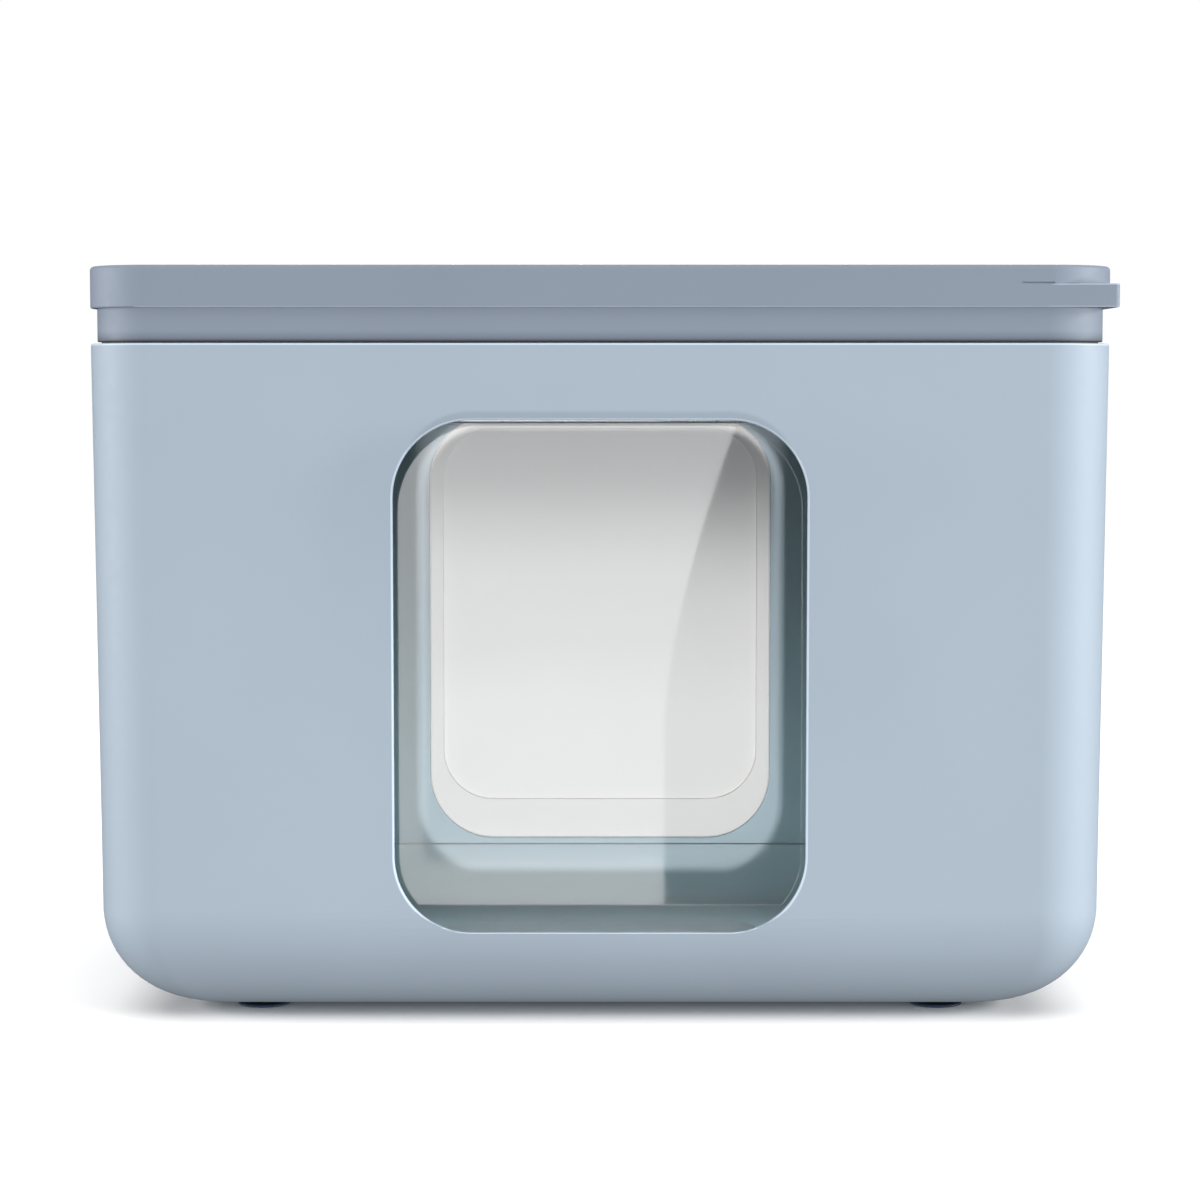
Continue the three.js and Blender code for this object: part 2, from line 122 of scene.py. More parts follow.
CORNER_STEPS = 20
FILLET_STEPS = 20


# ---- Mesh building ----

def made(name, verts, faces):
    mesh = bpy.data.meshes.new(name)
    mesh.from_pydata(verts, [], faces)
    mesh.validate()
    obj = bpy.data.objects.new(name, mesh)
    bpy.context.scene.collection.objects.link(obj)
    return obj


def rounded_outline(half_x, half_y, radius, steps=CORNER_STEPS, centre=(0.0, 0.0)):
    """Points of a rounded rectangle, anticlockwise."""
    points = []
    for quarter, (sx, sy) in enumerate([(1, 1), (-1, 1), (-1, -1), (1, -1)]):
        for step in range(steps + 1):
            angle = (quarter + step / steps) * math.pi / 2
            points.append((
                centre[0] + sx * (half_x - radius) + radius * math.cos(angle),
                centre[1] + sy * (half_y - radius) + radius * math.sin(angle),
            ))
    return points


def at_height(outline, z):
    return [(x, y, z) for x, y in outline]


def level(inset, z, radius=None):
    """One level of the moulded box, set in from its widest outline."""
    radius = CORNER_R - inset if radius is None else radius
    return at_height(rounded_outline(HALF_W - inset, HALF_D - inset, radius), z)


def loft(name, levels, ring=False):
    """Skins a list of closed outlines; a ring closes on itself, anything else gets flat ends."""
    count = len(levels[0])
    verts = [p for points in levels for p in points]
    faces = []
    bands = len(levels) if ring else len(levels) - 1
    for band in range(bands):
        low, high = band * count, (band + 1) % len(levels) * count
        for i in range(count):
            j = (i + 1) % count
            faces.append((low + i, low + j, high + j, high + i))
    if not ring:
        last = (len(levels) - 1) * count
        faces.append(tuple(reversed(range(count))))
        faces.append(tuple(last + i for i in range(count)))
    obj = made(name, verts, faces)
    outward(obj)
    return obj


def outward(obj):
    """Turns every face outwards."""
    mesh = bmesh.new()
    mesh.from_mesh(obj.data)
    bmesh.ops.remove_doubles(mesh, verts=mesh.verts, dist=1e-7)
    bmesh.ops.recalc_face_normals(mesh, faces=mesh.faces)
    mesh.to_mesh(obj.data)
    mesh.free()


def bend(corner, radius, start, end, steps=5):
    """Points (inset, z) of an arc round a centre, with the angle measured from +inset towards +z."""
    return [
        (corner[0] + radius * math.cos(math.radians(start + (end - start) * i / steps)),
         corner[1] + radius * math.sin(math.radians(start + (end - start) * i / steps)))
        for i in range(steps + 1)
    ]


def prism(name, outlines):
    """A closed loft through outlines of points (x, z), one for each y."""
    return loft(name, [[(x, y, z) for x, z in points] for y, points in outlines])


def box_piece(name, low, high):
    xs, ys, zs = zip(low, high)
    corners = [(x, y, z) for x in xs for y in ys for z in zs]
    faces = [(0, 1, 3, 2), (4, 6, 7, 5), (0, 4, 5, 1), (2, 3, 7, 6), (0, 2, 6, 4), (1, 5, 7, 3)]
    obj = made(name, corners, faces)
    outward(obj)
    return obj


def turned(name, profile, centre=(0, 0, 0), axis="Z", sides=48):
    """A solid of revolution from points (radius, height), whose ends lie on the axis or meet."""
    verts, faces = [], []
    for radius, height in profile:
        for i in range(sides):
            angle = 2 * math.pi * i / sides
            verts.append((radius * math.cos(angle), radius * math.sin(angle), height))
    for band in range(len(profile) - 1):
        low, high = band * sides, (band + 1) * sides
        for i in range(sides):
            j = (i + 1) % sides
            faces.append((low + i, low + j, high + j, high + i))
    obj = made(name, verts, faces)
    turns = {
        "Z": Matrix(),
        "X": Matrix.Rotation(math.pi / 2, 4, "Y"),
        "Y": Matrix.Rotation(-math.pi / 2, 4, "X"),
    }
    obj.data.transform(Matrix.Translation(centre) @ turns[axis])
    outward(obj)
    return obj


def boolean(obj, tools, operation="DIFFERENCE"):
    """Cuts or joins tools, which are used up, and keeps the result as obj's mesh."""
    for tool in tools:
        modifier = obj.modifiers.new("cut", "BOOLEAN")
        modifier.operation, modifier.solver, modifier.object = operation, "EXACT", tool
    depsgraph = bpy.context.evaluated_depsgraph_get()
    result = bpy.data.meshes.new_from_object(obj.evaluated_get(depsgraph))
    obj.modifiers.clear()
    obj.data = result
    for tool in tools:
        bpy.data.objects.remove(tool)


def smooth(obj, sharp=32):
    """Smooth shading that keeps flat faces flat and creases crisp."""
    obj.data.shade_smooth()
    obj.data.set_sharp_from_angle(angle=math.radians(sharp))
    weighted = obj.modifiers.new("normals", "WEIGHTED_NORMAL")
    weighted.keep_sharp = True
    weighted.weight = 80
    return obj


def trim(obj, material, chosen):
    """Gives the faces that chosen(centre, normal) picks a second material."""
    obj.data.materials.append(material)
    index = len(obj.data.materials) - 1
    for face in obj.data.polygons:
        if chosen(face.center, face.normal):
            face.material_index = index


def settle(obj, material, body, nodes):
    """Gives a finished piece its material, its body and the CAD node it stands for."""
    obj.data.materials.clear()
    obj.data.materials.append(material)
    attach(obj, body)
    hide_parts(*nodes)


# ---- Materials ----

class Nodes:
    """A small helper to write a material's nodes as code."""

    def __init__(self, name):
        self.material = bpy.data.materials.new(name)
        self.material.use_nodes = True
        self.tree = self.material.node_tree
        self.shader = self.tree.nodes["Principled BSDF"]
        self.output = self.tree.nodes["Material Output"]
        self.place = self.tree.nodes.new("ShaderNodeTexCoord").outputs["Object"]

    def link(self, source, target):
        self.tree.links.new(source, target)

    def noise(self, scale, detail=2.0, roughness=0.5):
        node = self.tree.nodes.new("ShaderNodeTexNoise")
        self.link(self.place, node.inputs["Vector"])
        node.inputs["Scale"].default_value = scale
        node.inputs["Detail"].default_value = detail
        node.inputs["Roughness"].default_value = roughness
        return node.outputs["Fac"]

    def spread(self, source, low, high, start=0.3, end=0.7):
        node = self.tree.nodes.new("ShaderNodeMapRange")
        self.link(source, node.inputs["Value"])
        node.inputs["From Min"].default_value = start
        node.inputs["From Max"].default_value = end
        node.inputs["To Min"].default_value = low
        node.inputs["To Max"].default_value = high
        return node.outputs["Result"]

    def mixed(self, factor, first, second):
        node = self.tree.nodes.new("ShaderNodeMix")
        node.data_type = "RGBA"
        self.link(factor, node.inputs["Factor"])
        node.inputs["A"].default_value = (*first, 1)
        node.inputs["B"].default_value = (*second, 1)
        return node.outputs["Result"]

    def darkened(self, colour, share):
        node = self.tree.nodes.new("ShaderNodeMix")
        node.data_type, node.blend_type = "RGBA", "MULTIPLY"
        node.inputs["Factor"].default_value = 1
        self.link(colour, node.inputs["A"])
        self.link(share, node.inputs["B"])
        return node.outputs["Result"]

    def axis_ramp(self, axis, stops):
        """Grey levels along an object axis, from stops of (metres, level) in rising order."""
        split = self.tree.nodes.new("ShaderNodeSeparateXYZ")
        self.link(self.place, split.inputs[0])
        first, last = stops[0][0], stops[-1][0]
        node = self.tree.nodes.new("ShaderNodeValToRGB")
        marks = node.color_ramp.elements
        while len(marks) < len(stops):
            marks.new(0.5)
        for mark, (metres, _) in zip(marks, stops):
            mark.position = (metres - first) / (last - first)
        for mark, (_, grey) in zip(marks, stops):
            mark.color = (grey, grey, grey, 1)
        self.link(self.spread(split.outputs[axis], 0, 1, first, last), node.inputs["Fac"])
        return node.outputs["Color"]

    def bump(self, height, strength, distance):
        node = self.tree.nodes.new("ShaderNodeBump")
        self.link(height, node.inputs["Height"])
        node.inputs["Strength"].default_value = strength
        node.inputs["Distance"].default_value = distance
        return node.outputs["Normal"]


def tinted(colour, share):
    return tuple(min(1.0, c * share) for c in colour)


def moulded(name, colour, roughness=0.58, grain=0.05, variation=0.02, specular=0.18, shade=None):
    """Injection-moulded plastic: faint clouding in the colour and a fine spark-eroded grain.

    shade, if given, is painted shade: it darkens the colour by height, from stops of (metres, share of the
    colour).
    """
    n = Nodes(name)
    clouds = n.spread(n.noise(9, 4), 0, 1)
    base = n.mixed(clouds, tinted(colour, 1 - variation), tinted(colour, 1 + variation))
    if shade:
        base = n.darkened(base, n.axis_ramp("Z", shade))
    n.link(base, n.shader.inputs["Base Color"])
    n.link(n.spread(n.noise(160, 3), roughness - 0.04, roughness + 0.04), n.shader.inputs["Roughness"])
    n.link(n.bump(n.noise(2600, 2, 0.6), grain, 0.1 * MM), n.shader.inputs["Normal"])
    n.shader.inputs["Specular IOR Level"].default_value = specular
    return n.material


def bare(name):
    """A material whose ready-made shader is taken out."""
    n = Nodes(name)
    n.tree.nodes.remove(n.shader)
    return n


def clear_sheet(name, tint, gloss):
    """Clear plastic sheet: it lets light straight through and mirrors more at a slant."""
    n = bare(name)
    facing = n.tree.nodes.new("ShaderNodeLayerWeight")
    facing.inputs["Blend"].default_value = 0.5
    power = n.tree.nodes.new("ShaderNodeMath")
    power.operation = "POWER"
    n.link(facing.outputs["Facing"], power.inputs[0])
    power.inputs[1].default_value = 5
    share = n.spread(power.outputs["Value"], 0.04, 0.9, 0, 1)
    through = n.tree.nodes.new("ShaderNodeBsdfTransparent")
    through.inputs["Color"].default_value = (*tint, 1)
    mirror = n.tree.nodes.new("ShaderNodeBsdfGlossy")
    mirror.inputs["Color"].default_value = (1, 1, 1, 1)
    n.link(n.spread(n.noise(40, 2), gloss * 0.7, gloss * 1.3), mirror.inputs["Roughness"])
    mix = n.tree.nodes.new("ShaderNodeMixShader")
    n.link(share, mix.inputs[0])
    n.link(through.outputs[0], mix.inputs[1])
    n.link(mirror.outputs[0], mix.inputs[2])
    n.link(mix.outputs[0], n.output.inputs["Surface"])
    return n.material


def steel(name):
    n = Nodes(name)
    n.shader.inputs["Metallic"].default_value = 1
    n.link(n.mixed(n.spread(n.noise(700, 2), 0, 1), (0.5, 0.51, 0.53), (0.62, 0.63, 0.65)),
           n.shader.inputs["Base Color"])
    n.link(n.spread(n.noise(1500, 2), 0.24, 0.38), n.shader.inputs["Roughness"])
    return n.material


def rubber(name, colour):
    n = Nodes(name)
    n.link(n.mixed(n.spread(n.noise(300, 3), 0, 1), tinted(colour, 0.85), tinted(colour, 1.2)),
           n.shader.inputs["Base Color"])
    n.link(n.spread(n.noise(500, 3), 0.62, 0.78), n.shader.inputs["Roughness"])
    n.link(n.bump(n.noise(1800, 2), 0.25, 0.1 * MM), n.shader.inputs["Normal"])
    return n.material


def foam(name):
    """Open charcoal foam: dark cells with greyer cell walls."""
    n = Nodes(name)
    cells = n.tree.nodes.new("ShaderNodeTexVoronoi")
    cells.feature = "DISTANCE_TO_EDGE"
    cells.inputs["Scale"].default_value = 700
    n.link(n.place, cells.inputs["Vector"])
    walls = n.spread(cells.outputs["Distance"], 1, 0, 0.0, 0.22)
    n.link(n.mixed(walls, (0.008, 0.008, 0.009), (0.05, 0.05, 0.055)), n.shader.inputs["Base Color"])
    n.shader.inputs["Roughness"].default_value = 0.95
    n.link(n.bump(walls, 0.8, 0.5 * MM), n.shader.inputs["Normal"])
    return n.material


BODY_COLOUR = (0.207, 0.246, 0.288)
# Painted light: the inside of the one-piece housing is given a paler colour than the outside, so that it
# reads lighter.
INSIDE_COLOUR = (0.345, 0.386, 0.425)
LID_COLOUR = (0.134, 0.158, 0.194)
# Painted highlight: the rounded edges get a lighter copy of the moulding's colour, standing in for light
# lines along them.
EDGE_HIGHLIGHT_LIFT = 1.6  # of a moulding's colour on its rounded edges
# Painted shade: the collar's neck darkens over its lowest 7 mm, down to the gap above the housing's rim.
COLLAR_SHADE = [
    (0.3602, 0.12), (0.3610, 0.45), (0.3623, 0.70), (0.3640, 0.83), (0.3657, 0.97), (0.3670, 1.0),
]

body_plastic = moulded("body_plastic", BODY_COLOUR)
body_edge_highlight = moulded("body_edge_highlight", tinted(BODY_COLOUR, EDGE_HIGHLIGHT_LIFT), 0.4)
inside_plastic = moulded("inside_plastic", INSIDE_COLOUR)
tray_plastic = moulded("tray_plastic", (0.325, 0.360, 0.392))
tray_lip = moulded("tray_lip", (0.265, 0.375, 0.420), 0.4)
lid_plastic = moulded("lid_plastic", LID_COLOUR)
lid_edge_highlight = moulded("lid_edge_highlight", tinted(LID_COLOUR, EDGE_HIGHLIGHT_LIFT), 0.4)
collar_plastic = moulded("collar_plastic", LID_COLOUR, shade=COLLAR_SHADE)
panel_white = moulded("panel_white", (0.87, 0.83, 0.81), 0.6, 0.03, 0.01, 0.1)
panel_opal = moulded("panel_opal", (0.91, 0.87, 0.85), 0.6, 0.02, 0.01, 0.1)
flap_clear = clear_sheet("flap_clear", (0.985, 0.993, 0.995), 0.03)
steel_wire = steel("steel_wire")
foot_rubber = rubber("foot_rubber", (0.006, 0.012, 0.028))
seal_rubber = rubber("seal_rubber", (0.045, 0.05, 0.06))
filter_foam = foam("filter_foam")


# ---- Housing ----

def draft_inset(z):
    return (RIM_Z - z) * math.tan(DRAFT)


def wall_inset(z):
    """How far the inside of the wall is set in at that height."""
    return draft_inset(z) + WALL


def fillet_levels(offset):
    """Levels of the rounded base from the floor up, offset inwards from the outer surface."""
    centre_z = UNDERSIDE_Z + BASE_FILLET_R
    centre_inset = draft_inset(centre_z) + BASE_FILLET_R
    radius = BASE_FILLET_R - offset
    levels = []
    for step in range(FILLET_STEPS + 1):
        part = step / FILLET_STEPS
        angle = part * math.pi / 2
        corner = BASE_CORNER_R + (CORNER_R - BASE_CORNER_R) * part - offset
        inset, z = centre_inset - radius * math.sin(angle), centre_z - radius * math.cos(angle)
        levels.append(level(inset, z, corner))
    return levels


def opening_outline(margin):
    middle = (OPENING_LOW_Z + OPENING_HIGH_Z) / 2
    half_z = (OPENING_HIGH_Z - OPENING_LOW_Z) / 2
    return rounded_outline(OPENING_HALF + margin, half_z + margin, OPENING_R + margin, 24, (0, middle))


def lean(obj, sign):
    """Leans a cutter made upright round y = 0 onto the drafted front (-1) or rear (1) wall."""
    foot = Vector((0, sign * (HALF_D - draft_inset(OPENING_LOW_Z)), OPENING_LOW_Z))
    turn = Matrix.Rotation(-sign * DRAFT, 4, "X")
    obj.data.transform(Matrix.Translation(foot) @ turn @ Matrix.Translation((0, 0, -OPENING_LOW_Z)))
    return obj


def doorway(name, sign, margins):
    """A cutter through a wall: margins are (depth below the outer face, margin round the opening)."""
    return lean(prism(name, [(-sign * depth, opening_outline(m)) for depth, m in margins]), sign)


def flare(radius, depth, steps=5, margin=0.0):
    """The rounded edge where a hole meets a face at that depth; a negative radius faces inwards."""
    size = abs(radius)
    rows = []
    for i in range(steps + 1):
        angle = math.pi / 2 * i / steps
        rows.append((depth + radius * (1 - math.cos(angle)), margin + size * (1 - math.sin(angle))))
    return rows


def housing_levels():
    """Up the outside, over the rim, under the collar's seat and down the inside."""
    lip, under = 0.6 * MM, SEAT_Z - SEAT_THICKNESS
    seat_inset = wall_inset(SEAT_Z) + SEAT_WIDTH - lip
    profile = bend((RIM_EDGE_R, RIM_Z - RIM_EDGE_R), RIM_EDGE_R, 180, 90)
    profile += bend((wall_inset(RIM_Z) - lip, RIM_Z - lip), lip, 90, 0)
    profile += [(wall_inset(SEAT_Z), SEAT_Z)]
    profile += bend((seat_inset, SEAT_Z - lip), lip, 90, 0)
    profile += bend((seat_inset, under + lip), lip, 0, -45, 3)
    profile += [(wall_inset(under - SEAT_SLOPE), under - SEAT_SLOPE)]
    return fillet_levels(0) + [level(inset, z) for inset, z in profile] + fillet_levels(WALL)[::-1]


def housing_bosses():
    """Posts that the feet plug into, and pads that the hinge brackets are screwed to."""
    bosses = []
    for corner in CORNERS:
        low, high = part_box("foot_" + corner)
        centre = ((low.x + high.x) / 2, (low.y + high.y) / 2, 0)
        base, top, radius, edge = UNDERSIDE_Z + MM, tray_low.z - 0.3 * MM, 8 * MM, 0.8 * MM
        profile = [(0, base), (radius, base), (radius, top - edge), (radius - edge, top), (0, top)]
        bosses.append(turned("boss", profile, centre))
    for side in SIDES:
        low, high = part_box("flap_bracket_" + side)
        x, half = (low.x + high.x) / 2, 7.5 * MM
        near = (x - half, -HALF_D + WALL - 0.8 * MM, high.z - 14.2 * MM)
        far = (x + half, high.y - 3.3 * MM, high.z + 0.4 * MM)
        bosses.append(box_piece("pad", near, far))
    return bosses


def door_cutters():
    """The front opening with its rounded edge, and the rear one with the recess for the panel."""
    outside, soft, recess, clear = -5 * MM, 0.5 * MM, 1.5 * MM, FLANGE + 0.4 * MM
    inside = flare(-soft, WALL)[::-1] + [(4 * WALL, soft)]
    front = [(outside, DOOR_EDGE_R)] + flare(DOOR_EDGE_R, 0) + inside
    rear = [(outside, clear + soft)] + flare(soft, 0, 4, clear) + [(recess, clear), (recess, 0)] + inside
    return [doorway("front_door", -1, front), doorway("rear_door", 1, rear)]


def near_front_edge(point):
    """True on the rounded edge round the front opening."""
    depth = point.y + HALF_D - draft_inset(point.z)
    deepest = (2.3 if point.z < BASE_FILLET_R else 1.05) * MM  # more where the wall curves away
    if not -0.1 * MM < depth < deepest:
        return False
    half_z, middle_z = (OPENING_HIGH_Z - OPENING_LOW_Z) / 2, (OPENING_LOW_Z + OPENING_HIGH_Z) / 2
    across = max(abs(point.x) - OPENING_HALF + OPENING_R, 0)
    along = max(abs(point.z - middle_z) - half_z + OPENING_R, 0)
    return -0.1 * MM < math.hypot(across, along) - OPENING_R < 1.3 * MM


def soften_sill(shell):
    """Rounds the opening's lower edge, where the wall already curves away from the flare."""
    highest = OPENING_LOW_Z + 4 * MM

    def on_sill(edge):
        return all(near_front_edge(vert.co) and vert.co.z < highest for vert in edge.verts)

    def sharp(edge):
        return edge.is_manifold and edge.calc_face_angle() > math.radians(50)

    mesh = bmesh.new()
    mesh.from_mesh(shell.data)
    sill = [edge for edge in mesh.edges if sharp(edge) and on_sill(edge)]
    bmesh.ops.bevel(mesh, geom=sill, offset=0.8 * MM, offset_type="OFFSET", segments=3, profile=0.5,
                    affect="EDGES")
    mesh.to_mesh(shell.data)
    mesh.free()


def make_housing():
    shell = loft("housing_shell", housing_levels())
    boolean(shell, housing_bosses(), "UNION")
    boolean(shell, door_cutters())
    soften_sill(shell)
    settle(smooth(shell), body_plastic, "base", ["housing"])
    cabin = Vector((0, 0, 0.55 * RIM_Z))

    def faces_out(centre, normal):
        return normal.dot(centre - cabin) > 0

    def on_rim(centre, normal):
        return centre.z > RIM_Z - RIM_EDGE_R and faces_out(centre, normal)

    # Painted light: the inner faces get the paler inside colour.
    trim(shell, inside_plastic, lambda centre, normal: not faces_out(centre, normal))
    # Painted highlight: lighter colour on the rounded edge round the front opening and on the rim's outer
    # edge.
    trim(shell, body_edge_highlight, lambda centre, normal: near_front_edge(centre) and normal.y > -0.99)
    trim(shell, body_edge_highlight, on_rim)


# ---- Litter tray ----

def tray_levels():
    """Up the outside of the bowl, over its brim and down the inside."""
    wall, radius, corner = 2.5 * MM, 44 * MM, 48 * MM
    edge, middle_r = wall / 2, radius - wall / 2
    centre_z, brim_inset = tray_low.z + radius, HALF_W - tray_high.x
    centre_inset = brim_inset + math.sqrt(radius ** 2 - (centre_z - TRAY_BRIM_Z) ** 2)
    turn_z = TRAY_BRIM_Z - edge

    def bowl(offset):
        size = radius - offset
        top = math.acos((centre_z - turn_z) / size)
        angles = [top * i / FILLET_STEPS for i in range(FILLET_STEPS + 1)]
        return [
            level(centre_inset - size * math.sin(angle), centre_z - size * math.cos(angle), corner - offset)
            for angle in angles
        ]

    middle = centre_inset - middle_r * math.sin(math.acos((centre_z - turn_z) / middle_r))
    brim = [level(i, z, corner - i + brim_inset) for i, z in bend((middle, turn_z), edge, 165, 15, 6)]
    return bowl(0) + brim + bowl(wall)[::-1]


def lip_piece():
    """The wide rounded lip in the middle of the tray's front."""
    roll, centre = 1.5 * MM, (0, tray_low.y + LIP_HALF_Y)
    rows = [(0, LIP_LOW_Z), (0, LIP_LOW_Z + MM)]
    rows += [(roll - reach, z) for reach, z in bend((0, LIP_TOP_Z - roll), roll, 0, 90, 6)]
    return loft("lip", [
        at_height(rounded_outline(LIP_HALF_X - i, LIP_HALF_Y - i, LIP_R - i, 12, centre), z)
        for i, z in rows
    ])


def on_lip(centre, normal):
    return centre.z > LIP_LOW_Z and abs(centre.x) < LIP_HALF_X and centre.y < tray_low.y + 2 * LIP_HALF_Y


def make_tray():
    tray = loft("litter_tray_shell", tray_levels())
    boolean(tray, [lip_piece()], "UNION")
    settle(smooth(tray), tray_plastic, "tray", ["litter_tray"])
    trim(tray, tray_lip, on_lip)


# ---- Collar, gasket and lid ----

def in_groove(centre, normal):
    """True in the gap between the housing's rim and the collar, which is painted dark as shade."""
    inside_x, inside_y = collar_high.x - 0.1 * MM, collar_high.y - 0.1 * MM
    return (GROOVE_LOW_Z < centre.z < GROOVE_HIGH_Z + 0.05 * MM
            and abs(centre.x) < inside_x and abs(centre.y) < inside_y)


def make_collar():
    plug, neck, groove = 3.6 * MM, HALF_W - collar_high.x, 5.8 * MM
    inside, edge = 8 * MM, 0.6 * MM
    profile = bend((plug + edge, collar_low.z + edge), edge, 270, 180, 3)
    profile += [(plug, GROOVE_LOW_Z), (groove, GROOVE_LOW_Z), (groove, GROOVE_HIGH_Z)]
    profile += bend((neck + edge, GROOVE_HIGH_Z + edge), edge, 270, 180, 4)
    profile += bend((neck + edge, collar_high.z - edge), edge, 180, 90, 4)
    profile += bend((inside - edge, collar_high.z - edge), edge, 90, 0, 4)
    profile += bend((inside - edge, collar_low.z + edge), edge, 0, -90, 4)
    collar = loft("collar_band", [level(inset, z) for inset, z in profile], ring=True)
    settle(smooth(collar), collar_plastic, "base", ["collar"])
    # Painted shade: the groove in the collar's plastic gets the seal's dark rubber colour.
    trim(collar, seal_rubber, in_groove)


def make_gasket():
    outer, inner = HALF_W - seal_high.x, 7.7 * MM
    middle, half = (outer + inner) / 2, (inner - outer) / 2
    height = (seal_high.z - seal_low.z) / 2
    centre_z = (seal_high.z + seal_low.z) / 2
    profile = []
    for step in range(16):
        angle = 2 * math.pi * step / 16
        bulge = [math.copysign(abs(f(angle)) ** 0.6, f(angle)) for f in (math.cos, math.sin)]
        profile.append((middle - half * bulge[0], centre_z - height * bulge[1]))
    gasket = loft("lid_gasket", [level(inset, z) for inset, z in profile], ring=True)
    settle(smooth(gasket, 60), seal_rubber, "lid", ["lid_seal"])


def tab_outline(inset, z):
    """The tab seen from above: a squared corner outside, and the lid's round corner inside."""
    outer_r, inner_r = 2.5 * MM, LID_CORNER_R - 1.6 * MM
    right, front = HALF_W - inset, -HALF_D + inset
    points = [(HALF_W - TAB_REACH, front)]
    for step in range(9):
        angle = -math.pi / 2 + math.pi / 2 * step / 8
        points.append((right - outer_r + outer_r * math.cos(angle),
                       front + outer_r + outer_r * math.sin(angle)))
    points.append((right, -HALF_D + TAB_REACH))
    for step in range(13):
        angle = -math.pi / 2 * step / 12
        points.append((HALF_W - LID_CORNER_R + inner_r * math.cos(angle),
                       -HALF_D + LID_CORNER_R + inner_r * math.sin(angle)))
    return at_height(points, z)


def lid_tab():
    """The squared front right corner, with softened edges, that the lid is lifted by."""
    edge = 0.7 * MM
    rows = [(edge, lid_low.z)]
    rows += bend((edge, lid_low.z + edge), edge, 225, 180, 2)
    rows += bend((edge, TAB_TOP_Z - edge), edge, 180, 90, 4)
    return loft("tab", [tab_outline(inset, z) for inset, z in rows])


def lid_levels():
    """From the ceiling down the inside, round the lower edge, and up to the top."""
    inner_r, top_r = 0.5 * MM, 2 * MM
    profile = [(LID_WALL, LID_CEILING_Z)]
    profile += bend((LID_WALL - inner_r, lid_low.z + inner_r), inner_r, 0, -90, 3)
    profile += bend((LID_LOW_EDGE_R, lid_low.z + LID_LOW_EDGE_R), LID_LOW_EDGE_R, 270, 180, 5)
    profile += bend((top_r, LID_TOP_Z - top_r), top_r, 180, 90, 7)
    return [level(inset, z, LID_CORNER_R - inset) for inset, z in profile]


def filter_rails():
    """The two rails that the cassette slides on, and the stop behind it."""
    rail_x, web, foot, thick = cassette_high.x + 0.6 * MM, 2.5 * MM, 4.6 * MM, 2 * MM
    foot_z, root_z = cassette_low.z - 0.3 * MM - thick, LID_CEILING_Z + MM
    front, back = cassette_low.y - 1.5 * MM, cassette_high.y + 1.5 * MM
    points = [(rail_x, root_z), (rail_x + web, root_z), (rail_x + web, foot_z),
              (rail_x - foot, foot_z), (rail_x - foot, foot_z + thick), (rail_x, foot_z + thick)]
    pieces = []
    for sign in (-1, 1):
        outline = [(sign * x, z) for x, z in points]
        pieces.append(prism("rail", [(front, outline), (back, outline)]))
    pieces.append(box_piece("stop", (-rail_x - web, back - MM, cassette_low.z + 0.4 * MM),
                            (rail_x + web, back + MM, root_z)))
    return pieces


def vent_slots():
    """Nine slots through the lid above the filter, flared at the top."""
    pitch, half_x, half_y, soft, overrun = 13 * MM, 2.5 * MM, 24 * MM, 0.5 * MM, 5 * MM
    tiny = 0.01 * MM
    middle_y = (cassette_low.y + cassette_high.y) / 2
    rows = [(0, LID_CEILING_Z - overrun), (0, LID_TOP_Z - soft), (-soft, LID_TOP_Z + tiny),
            (-soft, LID_TOP_Z + overrun)]
    slots = []
    for number in range(-4, 5):
        centre = (number * pitch, middle_y)
        slots.append(loft("slot", [
            at_height(rounded_outline(half_x - i, half_y - i, half_x - i - tiny, 6, centre), z)
            for i, z in rows
        ]))
    return slots


def tab_groove():
    """A shallow groove that carries the tab's top edge on to the left and ends there."""
    low = (219 * MM, -HALF_D - 5 * MM, TAB_TOP_Z)
    high = (HALF_W - 34 * MM, -HALF_D + 1.2 * MM, TAB_TOP_Z + 0.9 * MM)
    return box_piece("groove", low, high)


def on_lower_edge(centre, normal):
    low_enough = centre.z < lid_low.z + LID_LOW_EDGE_R * 0.8
    return low_enough and normal.z > -0.98 and abs(centre.y) > HALF_D - 1.2 * MM


def on_tab_edge(centre, normal):
    return abs(centre.z - TAB_TOP_Z + 0.3 * MM) < 0.6 * MM and 0.1 < normal.z < 0.98


def make_lid():
    lid = loft("lid_cover", lid_levels())
    boolean(lid, [lid_tab()] + filter_rails(), "UNION")
    boolean(lid, vent_slots() + [tab_groove()])
    settle(smooth(lid), lid_plastic, "lid", ["lid"])
    # Painted highlight: lighter colour on the lid's lower edge and along the tab's top edge.
    trim(lid, lid_edge_highlight, on_lower_edge)
    trim(lid, lid_edge_highlight, on_tab_edge)


# ---- Filter ----

def make_filter():
    cassette = frame["nodes"]["filter_cassette"]
    cassette.data.materials.clear()
    cassette.data.materials.append(lid_plastic)
    low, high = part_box("filter_pad")
    centre, half = (low + high) / 2, (high - low) / 2
    levels = []
    for step in range(9):
        angle = math.pi * (step / 8 - 0.5)
        swell = 0.6 * MM * (1 - math.cos(angle))
        outline = rounded_outline(half.x - swell, half.y - swell, 2.5 * MM, 6, (centre.x, centre.y))
        levels.append(at_height(outline, centre.z + half.z * math.sin(angle)))
    pad = loft("filter_foam_pad", levels)
    settle(smooth(pad, 60), filter_foam, "filter", ["filter_pad"])


# ---- Flap and hinge ----

